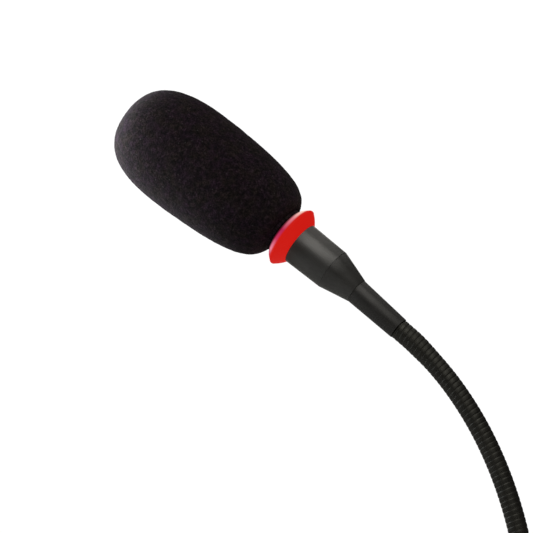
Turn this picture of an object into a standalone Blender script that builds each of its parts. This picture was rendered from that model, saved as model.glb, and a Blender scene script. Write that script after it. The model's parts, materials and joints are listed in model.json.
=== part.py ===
"""Gooseneck podium microphone: a three-pin plug, a bendable neck of ball-ended links, and a lit head.

The origin is the centre of the plug's shoulder, the ring that rests on the podium's socket.
+Z runs up the plug's axis, and the neck leans towards -X, so the neck lies in the XZ plane.
"""

import math

import bmesh
import bpy
from mathutils import Matrix, Vector

MM = 0.001
GAP = 0.3 * MM  # room kept between pieces that touch or nest

# Plug, measured up (+) and down (-) from its shoulder
BARREL_RADIUS = 9.5 * MM
BARREL_BORE = 8.1 * MM
BARREL_DEPTH = 14.5 * MM
SHOULDER_RADIUS = 11.0 * MM
SHOULDER_HEIGHT = 2.5 * MM
SPIGOT_TOP = 9.0 * MM
PLUG_RADIUS = 10.0 * MM
PLUG_BORE = 8.9 * MM
PLUG_HEIGHT = 40.0 * MM
PLUG_ROOF = 34.0 * MM  # underside of the plug housing's thick top
INSERT_HEIGHT = 8.0 * MM
PIN_RADIUS = 1.2 * MM
PIN_CIRCLE = 4.6 * MM
PIN_ANGLES = (30, 150, 270)
PIN_DROP = 13.2 * MM
PIN_TOP = 10.4 * MM
SOLDER_CUP_DEPTH = 2.4 * MM
LATCH_WINDOW = (4.0 * MM, 4.0 * MM, 3.0 * MM)
LATCH_DEPTH = 7.5 * MM
KEYWAY = (2.4 * MM, 2.0 * MM, 12.0 * MM)
SCREW_RADIUS = 1.1 * MM
INSERT_SCREW_HEIGHT = 5.5 * MM
NECK_SCREW_HEIGHT = 36.0 * MM
COLLAR_RADIUS = 5.2 * MM  # the lower sleeve where it leaves the plug
FLANGE_RADIUS = 7.5 * MM  # the lower sleeve's foot inside the plug
FLANGE_HEIGHT = 3.0 * MM
FLANGE_DROP = 0.5 * MM  # from the plug's roof down to the flange

# Neck
NECK_RADIUS = 4.0 * MM
NECK_BORE = 1.6 * MM
FLEX_START = 62.0 * MM  # height of the lower sleeve's mouth, where the bendable part starts
FLEX_LENGTH = 260.0 * MM
LINK_LENGTH = 20.0 * MM
BENT_LENGTH = 160.0 * MM  # the top stretch of the neck, which is bent at rest
TOP_LEAN = math.radians(49.7)  # the neck's angle from upright at its top end
BEND_POWER = 1.44
CABLE_RADIUS = 0.9 * MM

# Head: each section leans a little further from upright than the one below it
SLEEVE_LEAN = math.radians(47.5)
HEAD_LEAN = math.radians(50.4)
FOAM_LEAN = math.radians(52.0)
SLEEVE_LENGTH = 23.6 * MM
SLEEVE_MOUTH_RADIUS = 4.6 * MM
SLEEVE_TOP_RADIUS = 5.3 * MM
SLEEVE_BORE = NECK_RADIUS + GAP
SLEEVE_GRIP = 14.0 * MM  # how far the neck's end goes into the upper sleeve
SPIGOT_RADIUS = 3.8 * MM  # the upper sleeve's end inside the cone
SPIGOT_BORE = 2.4 * MM
SPIGOT_LENGTH = 4.0 * MM
CONE_LENGTH = 14.2 * MM
HOUSING_LENGTH = 17.4 * MM
HOUSING_REAR_RADIUS = 8.85 * MM
HOUSING_FRONT_RADIUS = 9.3 * MM
HOUSING_BORE = 7.9 * MM
STEM_RADIUS = 7.8 * MM  # the housing's front tube, which carries the light ring and the grille
STEM_BORE = 6.9 * MM
STEM_SHOULDER = 2.0 * MM
STEM_END = 27.6 * MM
RING_REAR = HOUSING_LENGTH + GAP
RING_LENGTH = 7.8 * MM
RING_RADIUS = 13.8 * MM
RING_REAR_RADIUS = 9.6 * MM
RING_FRONT_RADIUS = 10.2 * MM
RING_CREST = 4.1 * MM  # the ring's widest place, from its rear face
RING_CREST_ROUND = 0.8 * MM
RING_BORE = 8.7 * MM
CHANNEL_RADIUS = 10.0 * MM  # the hollow for the lamps inside the ring
CHANNEL_ENDS = (2.0 * MM, 5.6 * MM)
LED_COUNT = 6
LED_SIZE = (0.7 * MM, 1.6 * MM, 1.4 * MM)
BASKET_REAR = RING_REAR + RING_LENGTH + GAP
BASKET_FRONT = 51.4 * MM
BASKET_RADIUS = 8.7 * MM
BASKET_WALL = 0.6 * MM
BASKET_ROUND = 2.0 * MM
SLOT_SIZE = (3.0 * MM, 24.0 * MM, 14.0 * MM)
SLOT_HEIGHT = 38.0 * MM
PORT_RADIUS = 3.2 * MM
MESH_TOP = 48.6 * MM
CAPSULE_RADIUS = 4.85 * MM
CAPSULE_ENDS = (34.6 * MM, 43.6 * MM)

# Windscreen
FOAM_RADIUS = 23.4 * MM
FOAM_FRONT = 35.9 * MM  # from the widest section to the tip
FOAM_FRONT_POWERS = (3.1, 2.6)
FOAM_REAR = 42.7 * MM  # from the widest section to the rear face
FOAM_REAR_POWERS = (6.75, 1.86)
FOAM_REAR_SLOPE = 6.0 * MM  # how far the rear face would slope by the widest section
FOAM_SEAT = 26.1 * MM
FOAM_BORE = 9.1 * MM
FOAM_BORE_END = 53.5 * MM

ROUND_STEPS = 24
SMALL_STEPS = 16

parts = bpy.data.collections.new("gooseneck_podium_microphone")
cutters = bpy.data.collections.new("cutters")


# ---- Helpers ----

def clear_scene():
    """Empty the scene and link the two collections."""
    for thing in list(bpy.data.objects):
        bpy.data.objects.remove(thing, do_unlink=True)
    for group in (parts, cutters):
        bpy.context.scene.collection.children.link(group)


def material(name, colour, roughness, metallic=0.0):
    """A Principled material of one colour."""
    made = bpy.data.materials.new(name)
    made.use_nodes = True
    shader = made.node_tree.nodes["Principled BSDF"]
    shader.inputs["Base Color"].default_value = (*colour, 1.0)
    shader.inputs["Roughness"].default_value = roughness
    shader.inputs["Metallic"].default_value = metallic
    return made


def direction(lean):
    """The unit vector that leans from upright towards -X by an angle."""
    return Vector((-math.sin(lean), 0.0, math.cos(lean)))


def frame_at(origin, lean):
    """A frame at a point, with its own +Z leaning from upright."""
    return Matrix.Translation(origin) @ Matrix.Rotation(-lean, 4, "Y")


def up(height, x=0.0, y=0.0):
    """A shift, mostly along +Z."""
    return Matrix.Translation((x, y, height))


def add(name, mesh, place, finish, group=parts):
    """A new object for a mesh, in its collection and with its material."""
    made = bpy.data.objects.new(name, mesh)
    made.matrix_world = place
    group.objects.link(made)
    if finish:
        mesh.materials.append(finish)
    mesh.shade_smooth()
    mesh.set_sharp_from_angle(angle=math.radians(35))
    return made


def add_cutter(name, mesh, place):
    """An object that only cuts others."""
    made = add(name, mesh, place, None, cutters)
    made.hide_render = True
    made.display_type = "WIRE"
    return made


def cut(target, *tools):
    """Take the tools' shapes out of a part."""
    for tool in tools:
        difference = target.modifiers.new("Cut " + tool.name, "BOOLEAN")
        difference.operation = "DIFFERENCE"
        difference.solver = "EXACT"
        difference.object = tool


def turned(name, outline, place, finish, closed=True, steps=ROUND_STEPS, tool=False):
    """A profile of (radius, height) points turned about +Z, given down its outer side."""
    mesh = bpy.data.meshes.new(name)
    points = [(radius, 0.0, height) for radius, height in outline]
    edges = [(i, i + 1) for i in range(len(points) - 1)]
    if closed:
        edges.append((len(points) - 1, 0))
    mesh.from_pydata(points, edges, [])
    made = add_cutter(name, mesh, place) if tool else add(name, mesh, place, finish)
    screw = made.modifiers.new("Turn", "SCREW")
    screw.steps = steps
    screw.render_steps = steps
    screw.use_merge_vertices = True
    screw.merge_threshold = 0.00001
    return made


def tube_outline(outer, inner, bottom, top):
    """The profile of a plain ring or tube."""
    return [(outer, top), (outer, bottom), (inner, bottom), (inner, top)]


def rod_outline(radius, bottom, top):
    """The profile of a plain rod."""
    return [(0.0, top), (radius, top), (radius, bottom), (0.0, bottom)]


def rod(name, radius, bottom, top, place, finish, steps=SMALL_STEPS, tool=False):
    """A plain rod about +Z."""
    return turned(name, rod_outline(radius, bottom, top), place, finish, False, steps, tool)


def block_mesh(name, size):
    """A box of a size, centred on its origin."""
    shape = bmesh.new()
    bmesh.ops.create_cube(shape, size=1.0)
    bmesh.ops.scale(shape, vec=size, verts=shape.verts)
    mesh = bpy.data.meshes.new(name)
    shape.to_mesh(mesh)
    shape.free()
    return mesh


def block(name, size, place, finish, bevel=0.0):
    """A box, with its edges rounded if a bevel is given."""
    made = add(name, block_mesh(name, size), place, finish)
    if bevel:
        rounded = made.modifiers.new("Edges", "BEVEL")
        rounded.width = bevel
        rounded.segments = 1
    return made


def block_cutter(name, size, place):
    """A box that only cuts."""
    return add_cutter(name, block_mesh(name, size), place)


def arc(radius, start, end, count, centre=(0.0, 0.0), flatten=1.0):
    """Points on an arc from one angle to another, with its height scaled."""
    angles = (start + (end - start) * i / count for i in range(count + 1))
    return [
        (centre[0] + radius * math.cos(a), centre[1] + flatten * radius * math.sin(a))
        for a in angles
    ]


# ---- The neck's course ----

def lean_at(length):
    """How far the neck leans at an arc length from the lower sleeve's mouth."""
    along = (length - FLEX_LENGTH + BENT_LENGTH) / BENT_LENGTH
    return TOP_LEAN * max(0.0, along) ** BEND_POWER


def neck_point(length):
    """The neck's centre at an arc length, added up in steps of about a millimetre."""
    count = max(1, round(length / MM))
    step = length / count
    point = Vector((0.0, 0.0, FLEX_START))
    for i in range(count):
        point += direction(lean_at((i + 0.5) * step)) * step
    return point


def neck_pivots():
    """The centres of the neck's ball joints, from the bottom up."""
    count = round(FLEX_LENGTH / LINK_LENGTH)
    return [neck_point((i + 0.5) * LINK_LENGTH) for i in range(count)]


def lean_between(low, high):
    """The angle from upright of the line from one point to another."""
    return math.atan2(low.x - high.x, high.z - low.z)


PIVOTS = neck_pivots()
NECK_TOP = PIVOTS[-1] + direction(SLEEVE_LEAN) * (LINK_LENGTH / 2)
SLEEVE = frame_at(NECK_TOP, SLEEVE_LEAN)
CONE = SLEEVE @ up(SLEEVE_LENGTH)
HEAD = frame_at((CONE @ up(CONE_LENGTH)).translation, HEAD_LEAN)
FOAM = frame_at((HEAD @ up(FOAM_SEAT)).translation, FOAM_LEAN)


# ---- Plug ----

def plug_barrel(finish):
    """The metal barrel round the pins, with the shoulder and the tube that goes up into the housing."""
    outline = [
        (PLUG_BORE - GAP, SPIGOT_TOP),
        (PLUG_BORE - GAP, SHOULDER_HEIGHT),
        (SHOULDER_RADIUS, SHOULDER_HEIGHT),
        (SHOULDER_RADIUS, 0.0),
        (BARREL_RADIUS, 0.0),
        (BARREL_RADIUS, 2 * GAP - BARREL_DEPTH),
        (BARREL_RADIUS - 2 * GAP, -BARREL_DEPTH),
        (BARREL_BORE, -BARREL_DEPTH),
        (BARREL_BORE, SPIGOT_TOP),
    ]
    barrel = turned("plug_barrel", outline, up(0.0), finish)
    window = block_cutter("latch_window", LATCH_WINDOW, up(-LATCH_DEPTH, y=BARREL_RADIUS))
    cut(barrel, window, screw_hole("barrel_screw_hole", INSERT_SCREW_HEIGHT))
    return barrel


def plug_housing(finish):
    """The tall body of the plug, with a thick top that holds the lower sleeve."""
    hole = COLLAR_RADIUS + GAP
    outline = [
        (FLANGE_RADIUS, PLUG_HEIGHT),
        (PLUG_RADIUS, PLUG_HEIGHT - 2.5 * MM),
        (PLUG_RADIUS, SHOULDER_HEIGHT + GAP),
        (PLUG_BORE, SHOULDER_HEIGHT + GAP),
        (PLUG_BORE, PLUG_ROOF),
        (hole, PLUG_ROOF),
        (hole, PLUG_HEIGHT),
    ]
    housing = turned("plug_housing", outline, up(0.0), finish)
    cut(
        housing,
        screw_hole("housing_lower_hole", INSERT_SCREW_HEIGHT),
        screw_hole("housing_upper_hole", NECK_SCREW_HEIGHT),
    )
    return housing


def screw_hole(name, height):
    """The tool for a set screw's hole, which runs along -Y."""
    sideways = up(height) @ Matrix.Rotation(math.radians(90), 4, "X")
    return rod(name, SCREW_RADIUS + GAP, 3.0 * MM, 12.0 * MM, sideways, None, tool=True)


def set_screw(name, height, inner, outer, finish):
    """A set screw along -Y, with a hexagon socket in its outer end."""
    sideways = up(height) @ Matrix.Rotation(math.radians(90), 4, "X")
    screw = rod(name, SCREW_RADIUS, inner, outer, sideways, finish)
    socket = rod(name + "_socket", 0.6 * MM, outer - 0.8 * MM, outer + MM, sideways, None, 6, True)
    cut(screw, socket)
    return screw


def pin_places():
    """The frames of the three contact pins."""
    for angle in PIN_ANGLES:
        turn = math.radians(angle)
        yield up(0.0, PIN_CIRCLE * math.cos(turn), PIN_CIRCLE * math.sin(turn))


def pin_insert(finish):
    """The insulating disc that holds the pins, with a keyway in its edge."""
    outline = rod_outline(BARREL_BORE - GAP, GAP, INSERT_HEIGHT)
    insert = turned("pin_insert", outline, up(0.0), finish, closed=False)
    for number, place in enumerate(pin_places(), 1):
        cut(insert, rod(f"pin_hole_{number}", PIN_RADIUS + GAP, -MM, 10 * MM, place, None, tool=True))
    cut(insert, block_cutter("keyway", KEYWAY, up(INSERT_HEIGHT / 2, y=BARREL_BORE - GAP)))


def contact_pins(finish):
    """Three round-nosed pins, each with a solder cup at its top."""
    cup = 0.7 * MM
    cup_floor = PIN_TOP - SOLDER_CUP_DEPTH
    nose = arc(PIN_RADIUS, 0.0, math.radians(-90), 4, (0.0, PIN_RADIUS - PIN_DROP))
    outline = [(0.0, cup_floor), (cup, cup_floor), (cup, PIN_TOP), (PIN_RADIUS, PIN_TOP)]
    outline += [*nose[:-1], (0.0, -PIN_DROP)]
    for number, place in enumerate(pin_places(), 1):
        turned(f"contact_pin_{number}", outline, place, finish, False, 12)


def plug_electronics(board, chip, can):
    """The output board in the plug, with a chip and two capacitors on it."""
    block("plug_board", (13.0 * MM, 1.2 * MM, 16.0 * MM), up(19.0 * MM), board, 0.2 * MM)
    block("board_chip", (5.0 * MM, 1.3 * MM, 4.0 * MM), up(23.5 * MM, y=1.55 * MM), chip, 0.2 * MM)
    for number, x in ((1, -3.0 * MM), (2, 3.0 * MM)):
        across = up(15.0 * MM, x) @ Matrix.Rotation(math.radians(-90), 4, "X")
        rod(f"board_capacitor_{number}", 2.0 * MM, 0.9 * MM, 5.9 * MM, across, can)


def lower_sleeve(finish):
    """The tapered collar that holds the neck's foot, with a flange inside the plug housing."""
    flange_top = PLUG_ROOF - FLANGE_DROP
    flange_foot = flange_top - FLANGE_HEIGHT
    outline = [
        (FLANGE_RADIUS, flange_top),
        (FLANGE_RADIUS, flange_foot),
        (SLEEVE_BORE, flange_foot),
        (SLEEVE_BORE, FLEX_START),
        (SLEEVE_MOUTH_RADIUS, FLEX_START),
        (COLLAR_RADIUS, PLUG_HEIGHT + MM),
        (COLLAR_RADIUS, flange_top),
    ]
    turned("lower_sleeve", outline, up(0.0), finish)


# ---- Neck ----

def ball_end():
    """The round lower end of a link, about the pivot at height 0."""
    rim = math.acos(NECK_BORE / NECK_RADIUS)
    return arc(NECK_RADIUS, 0.0, -rim, 4)


def socket_end(pivot):
    """The hollow upper end of a link, round the next link's ball."""
    reach = NECK_RADIUS + GAP
    deep = math.acos(NECK_BORE / reach)
    shallow = math.acos(NECK_RADIUS / reach)
    return arc(reach, -deep, -shallow, 4, (0.0, pivot))


def neck_links(finish):
    """The neck: a foot in the lower sleeve, links with a ball and a socket, and a top in the head."""
    foot = PIVOTS[0].z
    outline = socket_end(foot) + [(NECK_RADIUS, PLUG_ROOF), (NECK_BORE, PLUG_ROOF)]
    turned("neck_link_00", outline, up(0.0), finish, steps=SMALL_STEPS)
    for number, (low, high) in enumerate(zip(PIVOTS, PIVOTS[1:]), 1):
        outline = ball_end() + socket_end((high - low).length)
        place = frame_at(low, lean_between(low, high))
        turned(f"neck_link_{number:02d}", outline, place, finish, steps=SMALL_STEPS)
    end = LINK_LENGTH / 2 + SLEEVE_GRIP
    outline = ball_end() + [(NECK_BORE, end), (NECK_RADIUS, end)]
    place = frame_at(PIVOTS[-1], SLEEVE_LEAN)
    turned(f"neck_link_{len(PIVOTS):02d}", outline, place, finish, steps=SMALL_STEPS)


def signal_cable(finish):
    """The screened cable from the plug's board to the head's board, inside the neck."""
    step = 6.0 * MM
    start = 28.0 * MM
    route = [Vector((0.0, 0.0, start + step * i)) for i in range(int((FLEX_START - start) / step) + 1)]
    route += [neck_point(step * i) for i in range(1, int(FLEX_LENGTH / step))]
    route += [NECK_TOP, SLEEVE @ Vector((0.0, 0.0, SLEEVE_LENGTH / 2)), CONE.translation]
    route += [HEAD.translation, HEAD @ Vector((0.0, 0.0, 10.0 * MM)), HEAD @ Vector((0.0, 0.0, 19.4 * MM))]
    curve = bpy.data.curves.new("signal_cable", "CURVE")
    curve.dimensions = "3D"
    curve.bevel_depth = CABLE_RADIUS
    curve.bevel_resolution = 2
    curve.use_fill_caps = True
    curve.materials.append(finish)
    spline = curve.splines.new("POLY")
    spline.points.add(len(route) - 1)
    for point, place in zip(spline.points, route):
        point.co = (*place, 1.0)
    parts.objects.link(bpy.data.objects.new("signal_cable", curve))


# ---- Head ----

def upper_sleeve(finish):
    """The tapered collar on the neck's top, with a spigot that goes into the cone."""
    grip = SLEEVE_GRIP + GAP
    outline = [
        (SPIGOT_RADIUS, SLEEVE_LENGTH + SPIGOT_LENGTH),
        (SPIGOT_RADIUS, SLEEVE_LENGTH),
        (SLEEVE_TOP_RADIUS, SLEEVE_LENGTH),
        (SLEEVE_MOUTH_RADIUS, 0.0),
        (SLEEVE_BORE, 0.0),
        (SLEEVE_BORE, grip),
        (SPIGOT_BORE, grip),
        (SPIGOT_BORE, SLEEVE_LENGTH + SPIGOT_LENGTH),
    ]
    turned("upper_sleeve", outline, SLEEVE, finish)


def tail_cone(finish):
    """The cone behind the housing; its front end turns with the head's slightly greater lean."""
    spigot = HOUSING_BORE - GAP
    spigot_top = CONE_LENGTH + 3.0 * MM
    hollow = spigot - 1.2 * MM
    socket = SPIGOT_RADIUS + GAP
    outline = [
        (spigot, spigot_top),
        (spigot, CONE_LENGTH),
        (HOUSING_REAR_RADIUS, CONE_LENGTH),
        (SLEEVE_TOP_RADIUS, GAP),
        (socket, GAP),
        (socket, SPIGOT_LENGTH + MM),
        (hollow, CONE_LENGTH),
        (hollow, spigot_top),
    ]
    straight = turned("straight_cone", outline, CONE, finish)
    ready = straight.evaluated_get(bpy.context.evaluated_depsgraph_get())
    mesh = bpy.data.meshes.new_from_object(ready)
    bpy.data.objects.remove(straight)
    turn = up(CONE_LENGTH) @ Matrix.Rotation(SLEEVE_LEAN - HEAD_LEAN, 4, "Y") @ up(-CONE_LENGTH)
    for vertex in mesh.vertices:
        if vertex.co.z > CONE_LENGTH - GAP:
            vertex.co = turn @ vertex.co
    mesh.name = "tail_cone"
    add("tail_cone", mesh, CONE, None)


def head_housing(finish):
    """The housing tube, with a narrower front tube that carries the light ring and the grille."""
    outline = [
        (STEM_RADIUS, STEM_END),
        (STEM_RADIUS, HOUSING_LENGTH),
        (HOUSING_FRONT_RADIUS, HOUSING_LENGTH),
        (HOUSING_REAR_RADIUS, GAP),
        (HOUSING_BORE, GAP),
        (HOUSING_BORE, HOUSING_LENGTH - STEM_SHOULDER),
        (STEM_BORE, HOUSING_LENGTH - STEM_SHOULDER),
        (STEM_BORE, STEM_END),
    ]
    turned("head_housing", outline, HEAD, finish)


def light_ring(finish):
    """The lens of the light: two cones that meet in a round crest, with a channel inside for the lamps."""
    centre = (RING_RADIUS - RING_CREST_ROUND, RING_CREST)
    crest = arc(RING_CREST_ROUND, math.radians(47), math.radians(-48), 4, centre)
    outside = [(RING_FRONT_RADIUS, RING_LENGTH), *crest, (RING_REAR_RADIUS, 0.0)]
    low, high = CHANNEL_ENDS
    inside = [
        (RING_BORE, 0.0),
        (RING_BORE, low),
        (CHANNEL_RADIUS, low),
        (CHANNEL_RADIUS, high),
        (RING_BORE, high),
        (RING_BORE, RING_LENGTH),
    ]
    turned("light_ring", outside + inside, HEAD @ up(RING_REAR), finish, steps=32)


def ring_lamps(board, lamp):
    """The ring's thin circuit board round the housing's front tube, and its red lamps."""
    inner = STEM_RADIUS + GAP
    outer = inner + GAP
    place = HEAD @ up(RING_REAR)
    turned("led_board", tube_outline(outer, inner, 2 * GAP, RING_LENGTH - 2 * GAP), place, board)
    for number in range(LED_COUNT):
        turn = Matrix.Rotation(math.radians(360) * (number + 0.5) / LED_COUNT, 4, "Z")
        spot = place @ turn @ up(sum(CHANNEL_ENDS) / 2, outer + GAP + LED_SIZE[0] / 2)
        block(f"led_{number + 1}", LED_SIZE, spot, lamp)


def grille_basket(finish):
    """The slotted cup that covers the capsule and screws on in front of the light ring."""
    inner = BASKET_RADIUS - BASKET_WALL
    soft = BASKET_ROUND
    roof = BASKET_FRONT - BASKET_WALL
    dome = arc(soft, math.radians(90), 0.0, 4, (BASKET_RADIUS - soft, BASKET_FRONT - soft))
    outline = [(0.0, BASKET_FRONT), *dome, (BASKET_RADIUS, BASKET_REAR), (inner, BASKET_REAR)]
    outline += [(inner, BASKET_FRONT - soft), (inner - soft / 2, roof), (0.0, roof)]
    basket = turned("grille_basket", outline, HEAD, finish, closed=False)
    for number in range(3):
        turn = Matrix.Rotation(math.radians(60) * number, 4, "Z")
        cut(basket, block_cutter(f"side_slot_{number}", SLOT_SIZE, HEAD @ up(SLOT_HEIGHT) @ turn))
    port = rod("front_port", PORT_RADIUS, roof - MM, BASKET_FRONT + MM, HEAD, None, tool=True)
    cut(basket, port)


def mesh_cup(finish):
    """The fine mesh liner of the grille, open at its rear."""
    outer = BASKET_RADIUS - BASKET_WALL - GAP
    inner = outer - GAP
    rear = STEM_END + GAP
    ceiling = MESH_TOP - GAP
    outline = [(0.0, MESH_TOP), (outer, MESH_TOP), (outer, rear), (inner, rear)]
    outline += [(inner, ceiling), (0.0, ceiling)]
    turned("mesh_cup", outline, HEAD, finish, closed=False)


def capsule_parts(metal, rubber, felt, wire):
    """The condenser capsule with its front port, its rubber mount, the felt before it and its two leads."""
    rear, front = CAPSULE_ENDS
    capsule = rod("capsule", CAPSULE_RADIUS, rear, front, HEAD, metal, ROUND_STEPS)
    cut(capsule, rod("capsule_port", 1.4 * MM, front - 0.8 * MM, front + MM, HEAD, None, tool=True))
    inner = CAPSULE_RADIUS + GAP
    turned("capsule_mount", tube_outline(7.2 * MM, inner, 36.2 * MM, 41.8 * MM), HEAD, rubber)
    rod("acoustic_felt", 7.1 * MM, 44.8 * MM, 46.0 * MM, HEAD, felt, ROUND_STEPS)
    for number, x in ((1, -3.2 * MM), (2, 3.2 * MM)):
        rod(f"capsule_lead_{number}", 0.4 * MM, 21.5 * MM, rear - GAP, HEAD @ up(0.0, x), wire, 8)


def preamp(board, chip):
    """The small round amplifier board behind the capsule, and the transistor on it."""
    rod("preamp_board", 6.5 * MM, 20.0 * MM, 21.2 * MM, HEAD, board, ROUND_STEPS)
    block("preamp_transistor", (3.0 * MM, 2.4 * MM, 1.2 * MM), HEAD @ up(22.1 * MM), chip, 0.2 * MM)


def superellipse(part, powers):
    """The height of a superellipse of height 1 at a share of its half width."""
    side, crown = powers
    return (1.0 - part ** side) ** (1 / crown)


def foam_outline():
    """The windscreen's side, from its tip to its rear face: two superellipse halves on a sloped rear."""
    middle = FOAM_REAR + FOAM_REAR_SLOPE
    front = []
    for i in range(12):
        part = math.sin(math.radians(90) * i / 12)
        front.append((FOAM_RADIUS * part, middle + FOAM_FRONT * superellipse(part, FOAM_FRONT_POWERS)))
    rear = []
    for i in range(13):
        part = math.cos(math.radians(90) * i / 13)
        height = FOAM_REAR * (1.0 - superellipse(part, FOAM_REAR_POWERS))
        rear.append((FOAM_RADIUS * part, height + FOAM_REAR_SLOPE * part ** 2))
    return front + rear + [(0.0, 0.0)]


def windscreen(finish):
    """The foam ball, with a blind bore that slides over the grille."""
    foam = turned("windscreen", foam_outline(), FOAM, finish, closed=False, steps=32)
    bore = rod("foam_bore", FOAM_BORE, 20.0 * MM, FOAM_BORE_END, HEAD, None, ROUND_STEPS, True)
    cut(foam, bore)


HEAD_PIECES = [
    "upper_sleeve", "tail_cone", "head_housing", "light_ring", "led_board", "grille_basket",
    "mesh_cup", "capsule", "capsule_mount", "acoustic_felt", "capsule_lead_1", "capsule_lead_2",
    "preamp_board", "preamp_transistor", "windscreen",
    *(f"led_{number + 1}" for number in range(LED_COUNT)),
]


def hold_moving_parts():
    """Parent the head's pieces to an empty on the neck's top pivot."""
    pivot = bpy.data.objects.new("head_pivot", None)
    pivot.matrix_world = Matrix.Translation(PIVOTS[-1])
    parts.objects.link(pivot)
    bpy.context.view_layer.update()
    for name in HEAD_PIECES:
        piece = parts.objects[name]
        piece.parent = pivot
        piece.matrix_parent_inverse = pivot.matrix_world.inverted()


def build():
    """Make every piece."""
    clear_scene()
    satin_black = material("satin_black_paint", (0.035, 0.034, 0.033), 0.42, 0.3)
    black_steel = material("black_steel", (0.03, 0.03, 0.03), 0.45, 0.6)
    nickel = material("nickel", (0.62, 0.6, 0.56), 0.25, 1.0)
    gold = material("gold_plate", (0.83, 0.62, 0.25), 0.25, 1.0)
    black_plastic = material("black_plastic", (0.02, 0.02, 0.02), 0.5)
    black_rubber = material("black_rubber", (0.018, 0.018, 0.018), 0.75)
    green_board = material("green_board", (0.02, 0.16, 0.06), 0.45)
    grey_can = material("capacitor_can", (0.45, 0.46, 0.48), 0.3, 0.9)
    red_lens = material("red_lens", (0.68, 0.012, 0.008), 0.25)
    red_lamp = material("red_lamp", (0.9, 0.05, 0.03), 0.3)
    fine_mesh = material("fine_mesh", (0.3, 0.3, 0.31), 0.4, 0.9)
    felt = material("black_felt", (0.02, 0.02, 0.02), 0.95)
    foam = material("black_foam", (0.012, 0.01, 0.011), 0.95)
    plug_barrel(nickel)
    plug_housing(satin_black)
    pin_insert(black_plastic)
    contact_pins(gold)
    set_screw("insert_screw", INSERT_SCREW_HEIGHT, BARREL_BORE, PLUG_RADIUS - GAP, black_steel)
    set_screw("neck_screw", NECK_SCREW_HEIGHT, COLLAR_RADIUS + GAP, PLUG_RADIUS - GAP, black_steel)
    plug_electronics(green_board, black_plastic, grey_can)
    lower_sleeve(satin_black)
    neck_links(black_steel)
    signal_cable(black_rubber)
    upper_sleeve(satin_black)
    tail_cone(satin_black)
    head_housing(satin_black)
    light_ring(red_lens)
    ring_lamps(green_board, red_lamp)
    grille_basket(black_steel)
    mesh_cup(fine_mesh)
    capsule_parts(grey_can, black_rubber, felt, black_rubber)
    preamp(green_board, black_plastic)
    windscreen(foam)
    hold_moving_parts()


build()
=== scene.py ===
"""The looks of the gooseneck podium microphone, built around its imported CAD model."""

import json
import math

import bmesh
import bpy
import numpy as np
from mathutils import Matrix, Vector, noise


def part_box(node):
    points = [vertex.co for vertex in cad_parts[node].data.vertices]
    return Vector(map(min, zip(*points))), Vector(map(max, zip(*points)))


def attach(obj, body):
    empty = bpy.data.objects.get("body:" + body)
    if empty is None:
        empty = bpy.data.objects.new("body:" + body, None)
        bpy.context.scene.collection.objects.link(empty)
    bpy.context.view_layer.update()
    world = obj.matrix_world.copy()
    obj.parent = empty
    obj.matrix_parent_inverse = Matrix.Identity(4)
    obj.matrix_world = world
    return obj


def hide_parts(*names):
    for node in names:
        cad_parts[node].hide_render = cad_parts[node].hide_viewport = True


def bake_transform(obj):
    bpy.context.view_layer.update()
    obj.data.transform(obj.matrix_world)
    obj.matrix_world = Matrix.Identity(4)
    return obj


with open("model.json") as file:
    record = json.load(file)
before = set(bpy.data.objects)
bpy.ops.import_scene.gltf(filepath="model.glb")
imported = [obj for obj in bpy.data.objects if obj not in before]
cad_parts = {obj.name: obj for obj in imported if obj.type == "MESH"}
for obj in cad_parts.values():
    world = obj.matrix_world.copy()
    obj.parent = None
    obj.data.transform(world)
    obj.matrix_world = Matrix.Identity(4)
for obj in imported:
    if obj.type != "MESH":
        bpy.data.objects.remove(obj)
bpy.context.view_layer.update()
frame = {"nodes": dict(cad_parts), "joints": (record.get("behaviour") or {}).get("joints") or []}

MM = 0.001

# ---- Places and sizes, in the CAD model's frame ----

JOINTS = {joint["name"]: joint for joint in frame["joints"]}
BENDS = sorted(name for name in JOINTS if name.startswith("neck_bend"))
PIVOTS = [Vector(JOINTS[name]["pos_m"]) for name in BENDS]
LINK_LENGTH = 20.0 * MM
SLEEVE_LEAN = math.radians(47.5)
FOAM_LEAN = math.radians(52.0)
HEAD_AXIS = Vector(JOINTS["foam_pull_off"]["axis"])
HEAD_LEAN = math.atan2(-HEAD_AXIS.x, HEAD_AXIS.z)
SLEEVE_LENGTH = 23.6 * MM
CONE_LENGTH = 14.2 * MM
HOUSING_LENGTH = 17.4 * MM
FOAM_SEAT = 26.1 * MM
GAP = 0.3 * MM
RING_REAR = HOUSING_LENGTH + GAP
RING_LENGTH = 7.8 * MM
RING_RADIUS = 13.8 * MM
RING_CREST = 4.1 * MM  # the ring's widest place, from its rear face
FLEX_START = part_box("lower_sleeve")[1].z
PLUG_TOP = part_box("plug_housing")[1].z
BARREL_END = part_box("plug_barrel")[0].z


def direction(lean):
    """The unit vector that leans from upright towards -X by an angle."""
    return Vector((-math.sin(lean), 0.0, math.cos(lean)))


def frame_at(origin, lean):
    """A frame at a point, with its own +Z leaning from upright."""
    return Matrix.Translation(origin) @ Matrix.Rotation(-lean, 4, "Y")


def up(height, x=0.0, y=0.0):
    """A shift, mostly along +Z."""
    return Matrix.Translation((x, y, height))


NECK_TOP = PIVOTS[-1] + direction(SLEEVE_LEAN) * (LINK_LENGTH / 2)
PLUG = Matrix.Identity(4)
SLEEVE = frame_at(NECK_TOP, SLEEVE_LEAN)
CONE = SLEEVE @ up(SLEEVE_LENGTH)
HEAD = frame_at((CONE @ up(CONE_LENGTH)).translation, HEAD_LEAN)
RING = HEAD @ up(RING_REAR)
FOAM = frame_at((HEAD @ up(FOAM_SEAT)).translation, FOAM_LEAN)


# ---- Material helpers ----

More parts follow.
